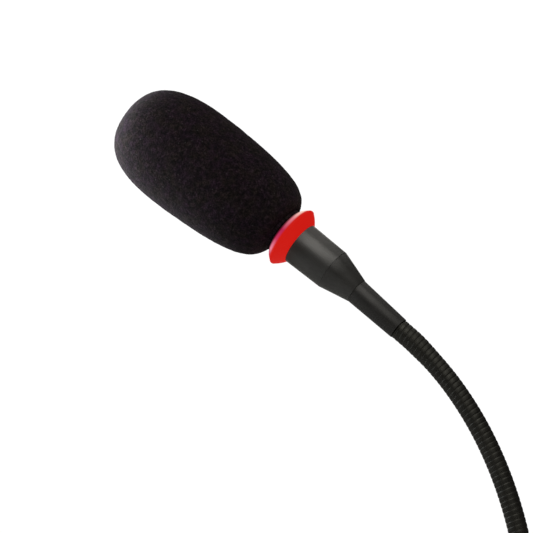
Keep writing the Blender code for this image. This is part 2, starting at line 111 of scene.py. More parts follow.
class Nodes:
    """A material under construction: short names for making and joining its nodes."""

    def __init__(self, name):
        self.material = bpy.data.materials.new(name)
        self.material.use_nodes = True
        self.tree = self.material.node_tree
        self.shader = self.tree.nodes["Principled BSDF"]
        self.place = self.add("ShaderNodeTexCoord").outputs["Object"]

    def add(self, kind, **values):
        """A node with its properties set."""
        made = self.tree.nodes.new(kind)
        for key, value in values.items():
            setattr(made, key, value)
        return made

    def join(self, source, target):
        """A link from an output to an input."""
        self.tree.links.new(source, target)

    def set(self, **values):
        """Fixed values on the shader's own sockets."""
        for key, value in values.items():
            self.shader.inputs[key.replace("_", " ")].default_value = value

    def noise(self, scale, detail=3.0, rough=0.55, stretch=None):
        """Noise at a number of waves to the metre."""
        made = self.add("ShaderNodeTexNoise")
        made.inputs["Scale"].default_value = scale
        made.inputs["Detail"].default_value = detail
        made.inputs["Roughness"].default_value = rough
        source = self.place
        if stretch:
            mapping = self.add("ShaderNodeMapping")
            mapping.inputs["Scale"].default_value = stretch
            self.join(self.place, mapping.inputs["Vector"])
            source = mapping.outputs["Vector"]
        self.join(source, made.inputs["Vector"])
        return made.outputs["Fac"]

    def cells(self, scale):
        """The distance to the nearest of scattered cell centres."""
        made = self.add("ShaderNodeTexVoronoi", feature="F1")
        made.inputs["Scale"].default_value = scale
        self.join(self.place, made.inputs["Vector"])
        return made.outputs["Distance"]

    def along(self, place, axis, length):
        """The distance along one axis of a frame, from its origin, as a share of a length."""
        line = place.to_3x3().col[axis]
        dot = self.add("ShaderNodeVectorMath", operation="DOT_PRODUCT")
        self.join(self.place, dot.inputs[0])
        dot.inputs[1].default_value = line
        made = self.add("ShaderNodeMath", operation="MULTIPLY_ADD")
        self.join(dot.outputs["Value"], made.inputs[0])
        made.inputs[1].default_value = 1.0 / length
        made.inputs[2].default_value = -place.translation.dot(line) / length
        return made.outputs[0]

    def ramp(self, source, stops):
        """A colour ramp over a value: (position, colour or grey level) stops."""
        made = self.add("ShaderNodeValToRGB")
        while len(made.color_ramp.elements) < len(stops):
            made.color_ramp.elements.new(0.5)
        for element, (position, colour) in zip(made.color_ramp.elements, stops):
            element.position = position
            element.color = (*colour, 1.0) if isinstance(colour, tuple) else (colour,) * 3 + (1.0,)
        self.join(source, made.inputs["Fac"])
        return made.outputs["Color"]

    def mix(self, factor, first, second, blend="MIX"):
        """Two colours mixed by a value."""
        made = self.add("ShaderNodeMix", data_type="RGBA", blend_type=blend)
        for socket, value in ((made.inputs[0], factor), (made.inputs[6], first), (made.inputs[7], second)):
            if isinstance(value, bpy.types.NodeSocket):
                self.join(value, socket)
            elif isinstance(value, tuple):
                socket.default_value = (*value, 1.0)
            else:
                socket.default_value = value
        return made.outputs[2]

    def sum(self, first, second, share=1.0):
        """One value plus a share of another."""
        made = self.add("ShaderNodeMath", operation="MULTIPLY_ADD")
        self.join(second, made.inputs[0])
        made.inputs[1].default_value = share
        self.join(first, made.inputs[2])
        return made.outputs[0]

    def seen_by_camera(self, share, usual, seen):
        """A surface of which the camera, but no other ray, sees a share as another one."""
        path = self.add("ShaderNodeLightPath")
        part = self.add("ShaderNodeMath", operation="MULTIPLY")
        self.join(path.outputs["Is Camera Ray"], part.inputs[0])
        self.join(share, part.inputs[1])
        either = self.add("ShaderNodeMixShader")
        self.join(part.outputs[0], either.inputs[0])
        self.join(usual, either.inputs[1])
        self.join(seen, either.inputs[2])
        return either.outputs[0]

    def colour(self, source):
        """A colour output on the shader."""
        self.join(source, self.shader.inputs["Base Color"])

    def roughness(self, source):
        """A roughness output on the shader."""
        self.join(source, self.shader.inputs["Roughness"])

    def bump(self, height, depth, strength=1.0):
        """Bump from a height, of a depth in metres."""
        made = self.add("ShaderNodeBump")
        made.inputs["Strength"].default_value = strength
        made.inputs["Distance"].default_value = depth
        self.join(height, made.inputs["Height"])
        self.join(made.outputs["Normal"], self.shader.inputs["Normal"])


# ---- Materials ----

def painted(name, dark, light, rough, level=0.5, orange_peel=0.02 * MM, tint=(1.0, 1.0, 1.0)):
    """Satin paint: a soft variation of tone, faint orange peel and a few rubbed patches."""
    n = Nodes(name)
    patches = n.noise(60.0, 4.0)
    n.colour(n.ramp(patches, [(0.3, dark), (0.75, light)]))
    n.roughness(n.ramp(n.noise(160.0, 5.0), [(0.25, rough - 0.05), (0.8, rough + 0.08)]))
    n.bump(n.noise(2600.0, 2.0), orange_peel, 0.25)
    n.set(Metallic=0.0, Specular_IOR_Level=level, IOR=1.5)
    n.shader.inputs["Specular Tint"].default_value = (*tint, 1.0)
    return n.material


def foam_material():
    """Open-cell foam: near-black and mottled brown and violet, with painted shade in its pits and a few pale
    specks.
    """
    n = Nodes("black_foam")
    pits = n.sum(n.cells(1500.0), n.noise(3200.0, 3.0, 0.6), 0.4)
    # Painted shade: darkest where the bump sinks into a pit.
    tone = n.ramp(pits, [
        (0.3, (0.006, 0.0036, 0.0047)), (0.62, (0.009, 0.0058, 0.0074)), (1.0, (0.019, 0.0138, 0.0166)),
    ])
    mottle = n.ramp(n.noise(560.0, 4.0, 0.65), [
        (0.36, (0.4, 0.45, 0.45)), (0.5, (1.0, 0.95, 0.95)), (0.66, (1.85, 1.58, 1.78)),
    ])
    tint = n.ramp(n.noise(190.0, 2.0), [
        (0.35, (1.06, 0.92, 1.2)), (0.5, (1.0, 1.0, 1.0)), (0.65, (0.98, 1.08, 0.82)),
    ])
    specks = n.ramp(n.cells(320.0), [(0.0, 1.0), (0.07, 0.8), (0.12, 0.0)])
    flecked = n.mix(1.0, n.mix(1.0, tone, mottle, "MULTIPLY"), tint, "MULTIPLY")
    n.colour(n.mix(specks, flecked, (0.04, 0.036, 0.038)))
    n.bump(pits, 0.2 * MM, 0.8)
    n.set(Roughness=0.95, Specular_IOR_Level=0.08, Sheen_Weight=0.06, Sheen_Roughness=0.5)
    n.shader.inputs["Sheen Tint"].default_value = (0.5, 0.45, 0.48, 1.0)
    return n.material


def lens_material(place, length, radius):
    """Frosted plastic lit red from inside, flat in tone behind the ring's crest; in front of it a painted
    highlight, pink to nearly white across the ring, and a painted shadow of the foam at its front edge.
    """
    n = Nodes("red_lens")
    n.colour(n.ramp(n.noise(110.0, 2.0), [(0.3, (0.05, 0.003, 0.0025)), (0.7, (0.07, 0.004, 0.003))]))
    n.roughness(n.ramp(n.noise(700.0, 2.0), [(0.3, 0.45), (0.8, 0.55)]))
    n.bump(n.noise(900.0, 2.0), 0.02 * MM, 0.3)
    across = n.along(place @ up(0.0, x=-radius), 0, 2 * radius)
    # Painted highlight: pink, magenta and nearly white by place across the ring, brightest towards one side.
    front = n.ramp(across, [
        (0.08, (0.52, 0.045, 0.085)), (0.17, (0.8, 0.24, 0.34)), (0.34, (0.55, 0.035, 0.11)),
        (0.5, (0.45, 0.018, 0.085)), (0.73, (0.7, 0.2, 0.25)), (0.9, (0.94, 0.66, 0.55)),
    ])
    height = n.along(place, 2, length)
    # The lamps' flat red behind the crest, and the painted highlight in front of it.
    glow_and_painted_highlight = n.mix(n.ramp(height, [(0.6, 0.0), (0.72, 1.0)]), (0.585, 0.0095, 0.0055), front)
    # Painted shadow of the foam: darker towards the ring's front edge, where the foam sits.
    painted_foam_shadow = n.ramp(height, [(0.82, 1.0), (0.94, 0.12)])
    n.join(n.mix(1.0, glow_and_painted_highlight, painted_foam_shadow, "MULTIPLY"), n.shader.inputs["Emission Color"])
    n.set(Specular_IOR_Level=0.05, Emission_Strength=1.0)
    return n.material


def metal(name, dark, light, rough, grain=1500.0):
    """Plated or bare metal with fine grain."""
    n = Nodes(name)
    n.colour(n.ramp(n.noise(300.0, 4.0), [(0.3, dark), (0.7, light)]))
    n.roughness(n.ramp(n.noise(grain, 3.0), [(0.3, rough - 0.05), (0.8, rough + 0.1)]))
    n.bump(n.noise(grain * 2, 2.0), 0.008 * MM, 0.4)
    n.set(Metallic=1.0)
    return n.material


def moulded(name, dark, light, rough, depth=0.02 * MM):
    """Moulded plastic or rubber with a fine eggshell grain."""
    n = Nodes(name)
    n.colour(n.ramp(n.noise(200.0, 3.0), [(0.3, dark), (0.75, light)]))
    n.roughness(n.ramp(n.noise(900.0, 3.0), [(0.3, rough - 0.05), (0.8, rough + 0.08)]))
    n.bump(n.noise(4200.0, 2.0), depth, 0.6)
    n.set(Specular_IOR_Level=0.4)
    return n.material


def board_material():
    """Green circuit board with paler tracks."""
    n = Nodes("green_board")
    wander = n.noise(900.0, 0.0, 0.5, (1.0, 0.25, 1.0))
    tracks = n.ramp(wander, [(0.48, (0.01, 0.12, 0.045)), (0.52, (0.03, 0.22, 0.08))])
    n.colour(tracks)
    n.bump(tracks, 0.03 * MM, 0.5)
    n.set(Roughness=0.4)
    return n.material


def felt_material():
    """Black felt."""
    n = Nodes("black_felt")
    fibres = n.noise(3000.0, 4.0, 0.7)
    n.colour(n.ramp(fibres, [(0.3, 0.006), (0.8, 0.02)]))
    n.bump(fibres, 0.1 * MM)
    n.set(Roughness=0.95, Sheen_Weight=0.2)
    return n.material


def lamp_material():
    """The clear red body of a lamp."""
    n = Nodes("red_lamp")
    n.colour(n.ramp(n.noise(800.0, 2.0), [(0.3, (0.8, 0.02, 0.012)), (0.7, (0.95, 0.05, 0.03))]))
    n.bump(n.noise(2500.0, 1.0), 0.01 * MM, 0.3)
    n.set(Roughness=0.2, Emission_Strength=1.5)
    n.shader.inputs["Emission Color"].default_value = (1.0, 0.03, 0.015, 1.0)
    return n.material


# One satin paint covers the housing, cone and sleeves. The head housing's copy is a lit copy, lighter and
# with a stronger specular level, as painted light; the upper sleeve's copy is darker and with a weaker
# specular level, as painted shade.
SATIN_BLACK = painted("satin_black_paint", (0.0165, 0.016, 0.0145), (0.0255, 0.0245, 0.022), 0.38, level=0.64)
LIT_HEAD_BLACK = painted("lit_head_black_paint", (0.017, 0.0165, 0.0148), (0.026, 0.025, 0.0225), 0.42, level=0.8)
SHADED_SLEEVE_BLACK = painted("shaded_sleeve_black_paint", (0.015, 0.014, 0.013), (0.023, 0.0215, 0.02), 0.44, level=0.36)
NECK_BLACK = painted("neck_black_paint", (0.0032, 0.0026, 0.002), (0.006, 0.005, 0.0038), 0.48, level=0.38,
                     orange_peel=0.03 * MM, tint=(1.0, 1.0, 0.9))
PLUG_BLACK = painted("plug_black_paint", (0.018, 0.018, 0.0175), (0.03, 0.03, 0.029), 0.36)
FOAM_BLACK = foam_material()
RED_LENS = lens_material(RING, RING_LENGTH, RING_RADIUS)
RED_LAMP = lamp_material()
NICKEL = metal("nickel", (0.58, 0.56, 0.53), (0.66, 0.64, 0.6), rough=0.24)
GOLD = metal("gold_plate", (0.72, 0.5, 0.18), (0.86, 0.64, 0.28), rough=0.22)
STEEL = metal("black_oxide_steel", (0.05, 0.05, 0.052), (0.09, 0.09, 0.09), rough=0.38)
GRILLE = metal("grille_black", (0.012, 0.012, 0.0125), (0.024, 0.024, 0.024), rough=0.55)
FINE_MESH = metal("fine_mesh_steel", (0.3, 0.3, 0.31), (0.42, 0.42, 0.43), rough=0.35)
CAN = metal("aluminium_can", (0.45, 0.46, 0.48), (0.6, 0.61, 0.62), rough=0.3)
BLACK_PLASTIC = moulded("black_plastic", (0.012, 0.012, 0.012), (0.022, 0.022, 0.022), rough=0.45)
RUBBER = moulded("black_rubber", (0.01, 0.01, 0.01), (0.02, 0.02, 0.02), rough=0.7, depth=0.04 * MM)
GREEN_BOARD = board_material()
FELT = felt_material()


# ---- Mesh helpers ----

def piece(name, rows, material, closed=False, sharp=40.0, caps=False):
    """A mesh from rows of points round an axis, each row a ring, joined row to row.

    closed joins the last row to the first; caps fills the two ends.
    """
    shape = bmesh.new()
    rings = [[shape.verts.new(point) for point in row] for row in rows]
    count = len(rings[0])
    pairs = list(zip(rings, rings[1:] + rings[:1] if closed else rings[1:]))
    for low, high in pairs:
        for i in range(count):
            j = (i + 1) % count
            shape.faces.new((low[i], low[j], high[j], high[i]))
    if caps:
        shape.faces.new(list(reversed(rings[0])))
        shape.faces.new(rings[-1])
    bmesh.ops.recalc_face_normals(shape, faces=shape.faces)
    mesh = bpy.data.meshes.new(name)
    shape.to_mesh(mesh)
    shape.free()
    mesh.materials.append(material)
    mesh.shade_smooth()
    mesh.set_sharp_from_angle(angle=math.radians(sharp))
    made = bpy.data.objects.new(name, mesh)
    bpy.context.scene.collection.objects.link(made)
    return made


def circle(place, radius, height, count):
    """A ring of points about a frame's +Z."""
    return [
        place @ Vector((radius * math.cos(a), radius * math.sin(a), height))
        for a in (2 * math.pi * i / count for i in range(count))
    ]


SLIGHT_TURN = 12.0  # degrees: a flatter corner stays as it is
ROUNDED_SHARE = 0.4  # the most that a rounding takes of the side next to it


def softened(profile, radius, steps=3):
    """A closed (radius, height) profile with each corner replaced by a small rounding."""
    made = []
    for i, corner in enumerate(profile):
        here = Vector(corner)
        before = Vector(profile[i - 1]) - here
        after = Vector(profile[(i + 1) % len(profile)]) - here
        turn = math.degrees(before.angle(-after))
        if turn < SLIGHT_TURN:
            made.append(tuple(here))
            continue
        reach = min(radius, before.length * ROUNDED_SHARE, after.length * ROUNDED_SHARE)
        first = here + before.normalized() * reach
        last = here + after.normalized() * reach
        for k in range(steps + 1):
            t = k / steps
            made.append(tuple(first * (1 - t) ** 2 + here * 2 * t * (1 - t) + last * t ** 2))
    return made


ROUND_SIDES = 96


def turned(name, profile, place, material, soften=0.25 * MM, count=ROUND_SIDES, sharp=40.0):
    """A closed profile of (radius, height) points turned about a frame's +Z, with soft corners."""
    outline = softened(profile, soften)
    rows = [circle(place, r, z, count) for r, z in outline]
    return piece(name, rows, material, closed=True, sharp=sharp)


SMALL_SIDES = 32


def solid(name, profile, place, material):
    """A small solid from an open profile turned about a frame's +Z, whose first and last rings are closed."""
    return piece(name, [circle(place, r, z, SMALL_SIDES) for r, z in profile], material, caps=True)


def carve(target, *tools, sharp=35.0):
    """Cut the tools out of a piece for good."""
    for tool in tools:
        cut = target.modifiers.new("Cut", "BOOLEAN")
        cut.operation = "DIFFERENCE"
        cut.object = tool
    ready = target.evaluated_get(bpy.context.evaluated_depsgraph_get())
    mesh = bpy.data.meshes.new_from_object(ready)
    target.modifiers.clear()
    target.data = mesh
    mesh.shade_smooth()
    mesh.set_sharp_from_angle(angle=math.radians(sharp))
    for tool in tools:
        bpy.data.objects.remove(tool)


def settle(made, body, slot, *nodes):
    """A piece rides on its body and stands for its CAD nodes; its slot is not used."""
    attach(made, body)
    if nodes:
        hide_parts(*nodes)
    return made


# ---- The neck's course ----

def neck_knots():
    """(arc length, point, unit tangent) at the neck's two ends and its pivots."""
    points = [Vector((0.0, 0.0, FLEX_START)), *PIVOTS, NECK_TOP]
    chords = [(b - a).normalized() for a, b in zip(points, points[1:])]
    tangents = [chords[0]]
    tangents += [(a + b).normalized() for a, b in zip(chords, chords[1:])]
    tangents += [chords[-1]]
    lengths = [0.0]
    for a, b in zip(points, points[1:]):
        lengths.append(lengths[-1] + (b - a).length)
    return list(zip(lengths, points, tangents))


KNOTS = neck_knots()


def neck_at(length):
    """The neck's centre and tangent at an arc length, straight on beyond its two ends."""
    if length <= 0.0:
        return KNOTS[0][1] + KNOTS[0][2] * length, KNOTS[0][2]
    if length >= KNOTS[-1][0]:
        return KNOTS[-1][1] + KNOTS[-1][2] * (length - KNOTS[-1][0]), KNOTS[-1][2]
    for (s0, p0, t0), (s1, p1, t1) in zip(KNOTS, KNOTS[1:]):
        if length <= s1:
            span = s1 - s0
            t = (length - s0) / span
            point = p0 * (2 * t ** 3 - 3 * t ** 2 + 1) + t0 * span * (t ** 3 - 2 * t ** 2 + t)
            point += p1 * (3 * t ** 2 - 2 * t ** 3) + t1 * span * (t ** 3 - t ** 2)
            slope = (p1 - p0) * (6 * t - 6 * t ** 2) / span
            slope += t0 * (3 * t ** 2 - 4 * t + 1) + t1 * (3 * t ** 2 - 2 * t)
            return point, slope.normalized()
    raise ValueError(length)


RIB_PITCH = 2.15 * MM
RIB_RADIUS = 4.12 * MM
RIB_CROWN = 0.04 * MM  # how far a rib's shoulders lie below its middle
RIB_STEP = 0.14 * MM  # between the rings of the mesh
RIB_SIDES = 40
RIB_ENDS = (8.0 * MM, 8.0 * MM)  # how far the neck goes on inside the two sleeves
GROOVE_DEPTH = 0.11 * MM
GROOVE_SHARE = 0.48  # the groove's share of the pitch
FLARE = 0.32 * MM  # how much thicker the neck gets below the upper sleeve
FLARE_LENGTH = 22.0 * MM
FLARE_RISE = 0.6 * FLARE_LENGTH  # the length over which it comes on
FLARE_STOP = 0.1 * MM  # how far before the neck's end it is over
FLARE_FALL = 0.4 * MM  # the length over which it goes off
CABLE_RADIUS = 0.9 * MM
CABLE_STEP = 4.0 * MM
CABLE_SIDES = 12
CABLE_ENDS = (34.0 * MM, 52.0 * MM)  # how far the cable goes on inside the plug and the head


def rib_drop(phase):
    """How far the neck's surface lies inside its crests, at a phase of the winding from -0.5 to 0.5."""
    across = abs(phase) * 2
    groove = max(0.0, (across - 1.0 + GROOVE_SHARE) / GROOVE_SHARE)
    return RIB_CROWN * across ** 2 + GROOVE_DEPTH * groove * groove * (3 - 2 * groove)


def smooth(value):
    """0 below 0 and 1 above 1, with a smooth turn between them."""
    t = min(1.0, max(0.0, value))
    return t * t * (3 - 2 * t)


def flare(length):
    """How much thicker the neck is where its winding runs up to the upper sleeve."""
    left = KNOTS[-1][0] - length
    return FLARE * smooth((FLARE_LENGTH - left) / FLARE_RISE) * smooth((left - FLARE_STOP) / FLARE_FALL)


def neck_ring(length, count, radius, ribbed):
    """A ring of points round the neck's centre, plain or on the winding's crests and grooves."""
    centre, tangent = neck_at(length)
    side = Vector((0.0, 1.0, 0.0))
    front = tangent.cross(side)
    points = []
    for i in range(count):
        turn = 2 * math.pi * i / count
        reach = radius
        if ribbed:
            phase = (length / RIB_PITCH - i / count) % 1.0
            reach += flare(length) - rib_drop(phase - 0.5)
        points.append(centre + (side * math.cos(turn) + front * math.sin(turn)) * reach)
    return points


def neck_stretch(name, number, radius, step, count, material, ribbed, ends):
    """The stretch of the neck or its cable round one pivot, from mid link to mid link."""
    total = KNOTS[-1][0]
    last = len(PIVOTS)
    start = (number - 1) / last * total
    stop = number / last * total
    low = start - ends[0] if number == 1 else start
    high = stop + ends[1] if number == last else stop
    rows = max(2, round((high - low) / step))
    rings = [neck_ring(low + (high - low) * i / rows, count, radius, ribbed) for i in range(rows + 1)]
    made = piece(f"{name}_{number:02d}", rings, material, sharp=80.0, caps=not ribbed)
    neck_at(start)[0]
    neck_at(stop)[0]
    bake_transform(made)
    return made


def gooseneck():
    """The ribbed neck and the cable in it, one stretch for each joint."""
    for number in range(1, len(PIVOTS) + 1):
        neck = neck_stretch("ribbed_neck", number, RIB_RADIUS, RIB_STEP, RIB_SIDES, NECK_BLACK, True,
                            RIB_ENDS)
        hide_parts(f"neck_link_{number:02d}")
        cable = neck_stretch("neck_cable", number, CABLE_RADIUS, CABLE_STEP, CABLE_SIDES, RUBBER, False,
                             CABLE_ENDS)
        if number == 1:
            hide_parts("neck_link_00")
            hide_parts("signal_cable")


# ---- Plug ----

BARREL_RADIUS = 9.5 * MM
BARREL_BORE = 8.1 * MM
SPIGOT_RADIUS = 8.6 * MM  # the barrel's end inside the plug housing
SPIGOT_TOP = 9.0 * MM
SHOULDER_RADIUS = 11.0 * MM
SHOULDER_HEIGHT = 2.5 * MM
LATCH_WINDOW = (4.0 * MM, 4.0 * MM, 3.0 * MM)
LATCH_DEPTH = 7.5 * MM
LATCH_OUT = 9.0 * MM  # from the axis to the middle of the latch window's tool
PLUG_RADIUS = 10.0 * MM
PLUG_BORE = 8.9 * MM
PLUG_FOOT = 2.8 * MM  # the plug housing's lower edge, just above the barrel's shoulder
PLUG_ROOF = 34.0 * MM  # underside of the plug housing's thick top
PLUG_SLOPE = 2.5 * MM  # height of the slope round its top
PLUG_MOUTH = 5.5 * MM  # radius of the hole in its top, round the lower sleeve
SCREW_HEIGHTS = (5.5 * MM, 36.0 * MM)
SCREW_HOLE_RADIUS = 1.4 * MM
SCREW_HOLE_ENDS = (3.0 * MM, 12.0 * MM)
FLANGE_RADIUS = 7.5 * MM
FLANGE_ENDS = (30.5 * MM, 33.5 * MM)
COLLAR_RADIUS = 5.2 * MM  # the lower sleeve where it leaves the plug
SLEEVE_MOUTH_RADIUS = 4.6 * MM  # the lower sleeve's thin upper end
SLEEVE_BORE = 4.3 * MM  # of both sleeves
PIN_RADIUS = 1.2 * MM
PIN_CIRCLE = 4.6 * MM
PIN_ANGLES = (30, 150, 270)
PIN_SHANK_END = -12.0 * MM  # where the pin's round nose begins
PIN_TOP = 10.4 * MM
CUP_RADIUS = 0.7 * MM  # the solder cup in the pin's top
CUP_FLOOR = 8.0 * MM


def plug():
    """The plug's barrel, housing and lower sleeve."""
    barrel = turned("barrel_shell", [
        (SPIGOT_RADIUS, SPIGOT_TOP), (SPIGOT_RADIUS, SHOULDER_HEIGHT), (SHOULDER_RADIUS, SHOULDER_HEIGHT),
        (SHOULDER_RADIUS, 0.0), (BARREL_RADIUS, 0.0), (BARREL_RADIUS, BARREL_END),
        (BARREL_BORE, BARREL_END), (BARREL_BORE, SPIGOT_TOP),
    ], PLUG, NICKEL)
    window = box_tool(LATCH_WINDOW, up(-LATCH_DEPTH, y=LATCH_OUT))
    carve(barrel, window, hole_tool(SCREW_HEIGHTS[0]))
    settle(barrel, "plug", "nickel", "plug_barrel")
    housing = turned("plug_shell", [
        (FLANGE_RADIUS, PLUG_TOP), (PLUG_RADIUS, PLUG_TOP - PLUG_SLOPE), (PLUG_RADIUS, PLUG_FOOT),
        (PLUG_BORE, PLUG_FOOT), (PLUG_BORE, PLUG_ROOF), (PLUG_MOUTH, PLUG_ROOF), (PLUG_MOUTH, PLUG_TOP),
    ], PLUG, PLUG_BLACK)
    carve(housing, *(hole_tool(height) for height in SCREW_HEIGHTS))
    settle(housing, "plug", "satin_black", "plug_housing")
    flange_foot, flange_top = FLANGE_ENDS
    sleeve = turned("foot_sleeve", [
        (FLANGE_RADIUS, flange_top), (FLANGE_RADIUS, flange_foot), (SLEEVE_BORE, flange_foot),
        (SLEEVE_BORE, FLEX_START), (SLEEVE_MOUTH_RADIUS, FLEX_START),
        (COLLAR_RADIUS, PLUG_TOP + 1.0 * MM), (COLLAR_RADIUS, flange_top),
    ], PLUG, SATIN_BLACK, soften=0.15 * MM)
    settle(sleeve, "plug", "satin_black", "lower_sleeve")


def hole_tool(height):
    """A tool for a set screw's hole, along -Y."""
    sideways = up(height) @ Matrix.Rotation(math.radians(90), 4, "X")
    return solid("hole_tool", [(SCREW_HOLE_RADIUS, end) for end in SCREW_HOLE_ENDS], sideways, NICKEL)


def box_tool(size, place):
    """A box-shaped tool."""
    shape = bmesh.new()
    bmesh.ops.create_cube(shape, size=1.0)
    bmesh.ops.scale(shape, vec=size, verts=shape.verts)
    bmesh.ops.transform(shape, matrix=place, verts=shape.verts)
    mesh = bpy.data.meshes.new("box_tool")
    shape.to_mesh(mesh)
    shape.free()
    made = bpy.data.objects.new("box_tool", mesh)
    bpy.context.scene.collection.objects.link(made)
    return made


def contact_pins():
    """The three pins, smoothly round-nosed, each with a solder cup at its top."""
    steps = 10
    nose = []
    for i in range(steps + 1):
        a = math.radians(84) * i / steps
        nose.append((PIN_RADIUS * math.cos(a), PIN_SHANK_END - PIN_RADIUS * math.sin(a)))
    cup = [(0.1 * MM, CUP_FLOOR), (CUP_RADIUS, CUP_FLOOR), (CUP_RADIUS, PIN_TOP), (PIN_RADIUS, PIN_TOP)]
    for number, angle in enumerate(PIN_ANGLES, 1):
        turn = math.radians(angle)
        place = up(0.0, PIN_CIRCLE * math.cos(turn), PIN_CIRCLE * math.sin(turn))
        pin = solid(f"gold_pin_{number}", cup + nose, place, GOLD)
        settle(pin, "plug", "gold", f"contact_pin_{number}")


# ---- Head ----

SLEEVE_TOP_RADIUS = 5.38 * MM
SLEEVE_FOOT_RADIUS = 4.7 * MM
SLEEVE_GRIP = 14.3 * MM  # how deep the bore for the neck's end is
COLLAR_SPIGOT_RADIUS = 3.8 * MM  # the upper sleeve's end inside the cone
COLLAR_SPIGOT_BORE = 2.4 * MM
COLLAR_SPIGOT_TOP = SLEEVE_LENGTH + 4.0 * MM
CONE_GAP = 0.05 * MM  # room at either end of the cone
CONE_FOOT_RADIUS = 5.45 * MM
CONE_EDGE = (5.6 * MM, 0.5 * MM)  # the soft edge round the cone's small end
CONE_MIDDLE_RADIUS = 7.26 * MM
CONE_FRONT_RADIUS = 8.92 * MM
CONE_BORE = 4.1 * MM
CONE_HOLLOW = (6.4 * MM, 5.0 * MM)  # the hollow's radius in front, and where it starts to widen
CONE_STRAIGHT = 0.6  # the share of the cone's length that leans as the sleeve does
CORNER = 0.7 * MM  # how far the housing reaches back over the cone
HOUSING_FRONT_RADIUS = 9.34 * MM
HOUSING_REAR_RADIUS = 8.97 * MM
HOUSING_BORE = 7.9 * MM
HOUSING_FLOOR = 15.4 * MM  # where the housing's bore ends and the front tube's begins
STEM_RADIUS = 7.8 * MM  # the housing's front tube, which carries the light ring and the grille
STEM_BORE = 6.9 * MM
STEM_END = 27.6 * MM


def upper_sleeve():
    """The sleeve between the neck and the tail cone."""
    sleeve = turned("collar_sleeve", [
        (COLLAR_SPIGOT_RADIUS, COLLAR_SPIGOT_TOP), (COLLAR_SPIGOT_RADIUS, SLEEVE_LENGTH),
        (SLEEVE_TOP_RADIUS, SLEEVE_LENGTH), (SLEEVE_FOOT_RADIUS, 0.0), (SLEEVE_BORE, 0.0),
        (SLEEVE_BORE, SLEEVE_GRIP), (COLLAR_SPIGOT_BORE, SLEEVE_GRIP),
        (COLLAR_SPIGOT_BORE, COLLAR_SPIGOT_TOP),
    ], SLEEVE, SHADED_SLEEVE_BLACK, soften=0.08 * MM)
    settle(sleeve, "head", "head_black", "upper_sleeve")


def tail_cone():
    """The cone, whose rings turn from the sleeve's lean to the head's over its front part."""
    front = CONE_LENGTH - CORNER - CONE_GAP
    middle = (front + CONE_EDGE[1]) / 2
    outside = [(CONE_FOOT_RADIUS, CONE_GAP), CONE_EDGE]
    outside += [(CONE_MIDDLE_RADIUS, middle), (CONE_FRONT_RADIUS, front)]
    hollow_radius, hollow_start = CONE_HOLLOW
    inside = [(hollow_radius, front), (CONE_BORE, hollow_start), (CONE_BORE, CONE_GAP)]
    rows = []
    for r, z in softened(outside + inside, 0.08 * MM):
        share = max(0.0, (z - CONE_STRAIGHT * CONE_LENGTH) / ((1.0 - CONE_STRAIGHT) * CONE_LENGTH))
        turn = Matrix.Rotation((SLEEVE_LEAN - HEAD_LEAN) * share, 4, "Y")
        place = CONE @ up(CONE_LENGTH) @ turn @ up(-CONE_LENGTH)
        rows.append(circle(place, r, z, ROUND_SIDES))
    cone = piece("cone_shell", rows, SATIN_BLACK, closed=True)
    settle(cone, "head", "head_black", "tail_cone")


def head_housing():
    """The housing and its front tube."""
    housing = turned("housing_shell", [
        (STEM_RADIUS, STEM_END), (STEM_RADIUS, HOUSING_LENGTH), (HOUSING_FRONT_RADIUS, HOUSING_LENGTH),
        (HOUSING_REAR_RADIUS, -CORNER), (HOUSING_BORE, -CORNER), (HOUSING_BORE, HOUSING_FLOOR),
        (STEM_BORE, HOUSING_FLOOR), (STEM_BORE, STEM_END),
    ], HEAD, LIT_HEAD_BLACK, soften=0.1 * MM)
    settle(housing, "head", "head_black", "head_housing")


RING_FOOT = -0.22 * MM  # the rear cone's edge, just behind the ring's own place
RING_REAR_RADIUS = 9.6 * MM
RING_FRONT_RADIUS = 10.2 * MM
RING_CREST_ROUND = 0.8 * MM
RING_FRONT_LIMIT = (0.3 * MM, 0.55 * MM)  # where the front cone meets the crest: inward and forward of it
RING_REAR_LIMIT = (0.27 * MM, 0.6 * MM)  # where the rear cone meets the crest: inward and back from it
FRONT_FULLNESS = 0.22 * MM  # how far a cone's side bulges halfway
REAR_FULLNESS = 0.18 * MM
RING_BORE = 8.7 * MM
CHANNEL_RADIUS = 10.0 * MM  # the hollow for the lamps inside the ring
CHANNEL_ENDS = (2.0 * MM, 5.6 * MM)


